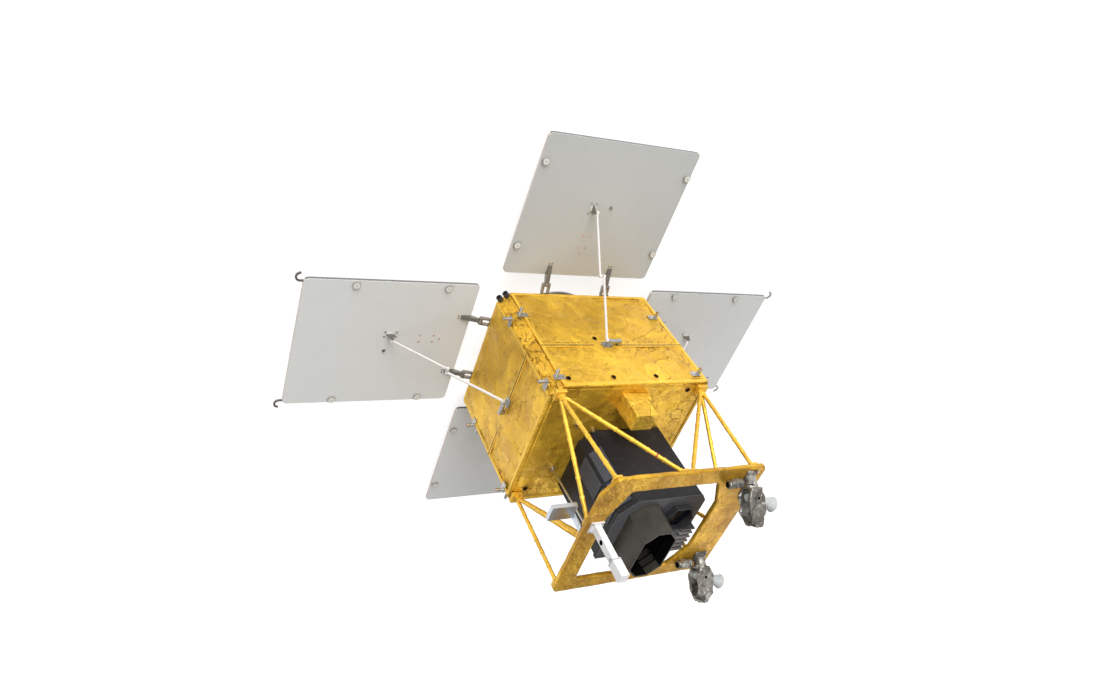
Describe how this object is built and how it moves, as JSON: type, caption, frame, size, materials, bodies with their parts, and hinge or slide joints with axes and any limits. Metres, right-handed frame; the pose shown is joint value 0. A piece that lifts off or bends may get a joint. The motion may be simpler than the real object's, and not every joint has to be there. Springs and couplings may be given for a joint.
{
  "type": "earth observation satellite",
  "caption": "Gold-wrapped box satellite on its launch ring, with hinged solar petals, folding struts, a truss ring frame, a dark imager and steerable horn antennas.",
  "frame": {"origin": "centre of the launch ring's lower face, on the floor", "axes": "+Z from the launch ring up to the imager; +X and +Y square to the box's sides, +X the longer side's direction, the cut star corner at -X +Y"},
  "size_m": [3.2408, 2.782, 1.898],
  "materials": {
    "gold_foil": "crinkled gold film of multilayer insulation, glossy",
    "frame_foil": "gold film wrapped tight over a flat frame, lighter tape along the edges",
    "tube_foil": "gold film wrapped round tubes",
    "rear_deck_foil": "gold film, flatter and duller",
    "equipment_grey": "plain grey",
    "petal_grey": "matt light grey skin over honeycomb, faint insert marks",
    "solar_cell": "dark blue cells under cover glass with fine silver grid lines",
    "fitting_metal": "bare machined metal",
    "hinge_metal": "dark grey metal",
    "strut_white": "pale tape over a thin tube",
    "ring_metal": "clear anodised, machined",
    "sensor_black": "matt black",
    "imager_black": "black film with a soft sheen",
    "hood_black": "black film outside, velvet black inside",
    "radiator_grey": "dark grey fins",
    "mast_white": "white thermal paint",
    "feed_silver": "bluish silver",
    "silver_foil": "crinkled silver film",
    "horn_white": "translucent white cover film"
  },
  "bodies": {
    "bus": {"launch_ring": "ring_metal", "base_deck": "rear_deck_foil", "payload_deck": "gold_foil", "equipment_block": "equipment_grey", "side_panel_x_plus": "gold_foil", "side_panel_y_plus": "gold_foil", "side_panel_x_minus": "gold_foil", "side_panel_y_minus": "gold_foil", "corner_strips": "gold_foil", "hold_down_posts": "fitting_metal", "rear_sensors": "sensor_black", "truss_frame": "frame_foil", "leg_front_left": "tube_foil", "leg_front_right": "tube_foil", "leg_back_left": "tube_foil", "leg_back_right": "tube_foil", "imager_box": "imager_black", "imager_hood": "hood_black", "imager_radiator": "radiator_grey", "deck_box": "gold_foil", "telemetry_mast": "mast_white", "feed_rod": "strut_white", "patch_antenna": "feed_silver", "gimbal_upper_stator": "silver_foil", "gimbal_lower_stator": "silver_foil", "hinge_base_x_plus": "hinge_metal", "strut_bracket_x_plus": "hinge_metal", "hinge_base_x_minus": "hinge_metal", "strut_bracket_x_minus": "hinge_metal", "hinge_base_y_plus": "hinge_metal", "strut_bracket_y_plus": "hinge_metal", "hinge_base_y_minus": "hinge_metal", "strut_bracket_y_minus": "hinge_metal"},
    "petal_x_plus": {"petal_x_plus_panel": "petal_grey", "petal_x_plus_cells": "solar_cell", "petal_x_plus_fittings": "fitting_metal"},
    "strut_body_link_x_plus": {"strut_body_link_x_plus": "strut_white"},
    "strut_petal_link_x_plus": {"strut_petal_link_x_plus": "strut_white"},
    "petal_x_minus": {"petal_x_minus_panel": "petal_grey", "petal_x_minus_cells": "solar_cell", "petal_x_minus_fittings": "fitting_metal"},
    "strut_body_link_x_minus": {"strut_body_link_x_minus": "strut_white"},
    "strut_petal_link_x_minus": {"strut_petal_link_x_minus": "strut_white"},
    "petal_y_plus": {"petal_y_plus_panel": "petal_grey", "petal_y_plus_cells": "solar_cell", "petal_y_plus_fittings": "fitting_metal"},
    "strut_body_link_y_plus": {"strut_body_link_y_plus": "strut_white"},
    "strut_petal_link_y_plus": {"strut_petal_link_y_plus": "strut_white"},
    "petal_y_minus": {"petal_y_minus_panel": "petal_grey", "petal_y_minus_cells": "solar_cell", "petal_y_minus_fittings": "fitting_metal"},
    "strut_body_link_y_minus": {"strut_body_link_y_minus": "strut_white"},
    "strut_petal_link_y_minus": {"strut_petal_link_y_minus": "strut_white"},
    "gimbal_upper_yoke": {"gimbal_upper_yoke": "silver_foil"},
    "gimbal_upper_horn": {"gimbal_upper_horn": "horn_white"},
    "gimbal_lower_yoke": {"gimbal_lower_yoke": "silver_foil"},
    "gimbal_lower_horn": {"gimbal_lower_horn": "horn_white"}
  },
  "joints": [
    {"name": "petal_hinge_x_plus", "type": "hinge", "parent": "bus", "child": "petal_x_plus", "pos_m": [0.545, 0, 0.145], "axis": [0, -1, 0], "range_deg": [0, 90]},
    {"name": "strut_foot_pivot_x_plus", "type": "hinge", "parent": "bus", "child": "strut_body_link_x_plus", "pos_m": [0.5385, 0.036, 0.648], "axis": [0, -1, 0], "range_deg": [-45, 0]},
    {"name": "strut_tip_pivot_x_plus", "type": "hinge", "parent": "petal_x_plus", "child": "strut_petal_link_x_plus", "pos_m": [1.048, 0.06, 0.1515], "axis": [0, -1, 0], "range_deg": [0, 45]},
    {"name": "petal_hinge_x_minus", "type": "hinge", "parent": "bus", "child": "petal_x_minus", "pos_m": [-0.545, 0, 0.145], "axis": [0, 1, 0], "range_deg": [0, 90]},
    {"name": "strut_foot_pivot_x_minus", "type": "hinge", "parent": "bus", "child": "strut_body_link_x_minus", "pos_m": [-0.5385, 0.036, 0.648], "axis": [0, 1, 0], "range_deg": [-45, 0]},
    {"name": "strut_tip_pivot_x_minus", "type": "hinge", "parent": "petal_x_minus", "child": "strut_petal_link_x_minus", "pos_m": [-1.048, 0.06, 0.1515], "axis": [0, 1, 0], "range_deg": [0, 45]},
    {"name": "petal_hinge_y_plus", "type": "hinge", "parent": "bus", "child": "petal_y_plus", "pos_m": [0, 0.475, 0.145], "axis": [1, 0, 0], "range_deg": [0, 90]},
    {"name": "strut_foot_pivot_y_plus", "type": "hinge", "parent": "bus", "child": "strut_body_link_y_plus", "pos_m": [-0.036, 0.4685, 0.648], "axis": [1, 0, 0], "range_deg": [-45, 0]},
    {"name": "strut_tip_pivot_y_plus", "type": "hinge", "parent": "petal_y_plus", "child": "strut_petal_link_y_plus", "pos_m": [-0.06, 0.978, 0.1515], "axis": [1, 0, 0], "range_deg": [0, 45]},
    {"name": "petal_hinge_y_minus", "type": "hinge", "parent": "bus", "child": "petal_y_minus", "pos_m": [0, -0.475, 0.145], "axis": [-1, 0, 0], "range_deg": [0, 90]},
    {"name": "strut_foot_pivot_y_minus", "type": "hinge", "parent": "bus", "child": "strut_body_link_y_minus", "pos_m": [-0.036, -0.4685, 0.648], "axis": [-1, 0, 0], "range_deg": [-45, 0]},
    {"name": "strut_tip_pivot_y_minus", "type": "hinge", "parent": "petal_y_minus", "child": "strut_petal_link_y_minus", "pos_m": [-0.06, -0.978, 0.1515], "axis": [-1, 0, 0], "range_deg": [0, 45]},
    {"name": "gimbal_upper_azimuth", "type": "hinge", "parent": "bus", "child": "gimbal_upper_yoke", "pos_m": [0.404, 0.352, 1.595], "axis": [0, -0.7071, 0.7071], "range_deg": [-30, 200]},
    {"name": "gimbal_upper_elevation", "type": "hinge", "parent": "gimbal_upper_yoke", "child": "gimbal_upper_horn", "pos_m": [0.404, 0.2728, 1.6742], "axis": [0, -0.7071, -0.7071], "range_deg": [-15, 30]},
    {"name": "gimbal_lower_azimuth", "type": "hinge", "parent": "bus", "child": "gimbal_lower_yoke", "pos_m": [0.404, -0.29, 1.595], "axis": [0, -0.7071, 0.7071], "range_deg": [-30, 200]},
    {"name": "gimbal_lower_elevation", "type": "hinge", "parent": "gimbal_lower_yoke", "child": "gimbal_lower_horn", "pos_m": [0.404, -0.3692, 1.6742], "axis": [0, -0.7071, -0.7071], "range_deg": [-15, 30]}
  ],
  "couplings": [
    {"joint": "strut_foot_pivot_x_plus", "follows": "petal_hinge_x_plus", "ratio": -0.5},
    {"joint": "strut_tip_pivot_x_plus", "follows": "petal_hinge_x_plus", "ratio": 0.5},
    {"joint": "strut_foot_pivot_x_minus", "follows": "petal_hinge_x_minus", "ratio": -0.5},
    {"joint": "strut_tip_pivot_x_minus", "follows": "petal_hinge_x_minus", "ratio": 0.5},
    {"joint": "strut_foot_pivot_y_plus", "follows": "petal_hinge_y_plus", "ratio": -0.5},
    {"joint": "strut_tip_pivot_y_plus", "follows": "petal_hinge_y_plus", "ratio": 0.5},
    {"joint": "strut_foot_pivot_y_minus", "follows": "petal_hinge_y_minus", "ratio": -0.5},
    {"joint": "strut_tip_pivot_y_minus", "follows": "petal_hinge_y_minus", "ratio": 0.5}
  ]
}
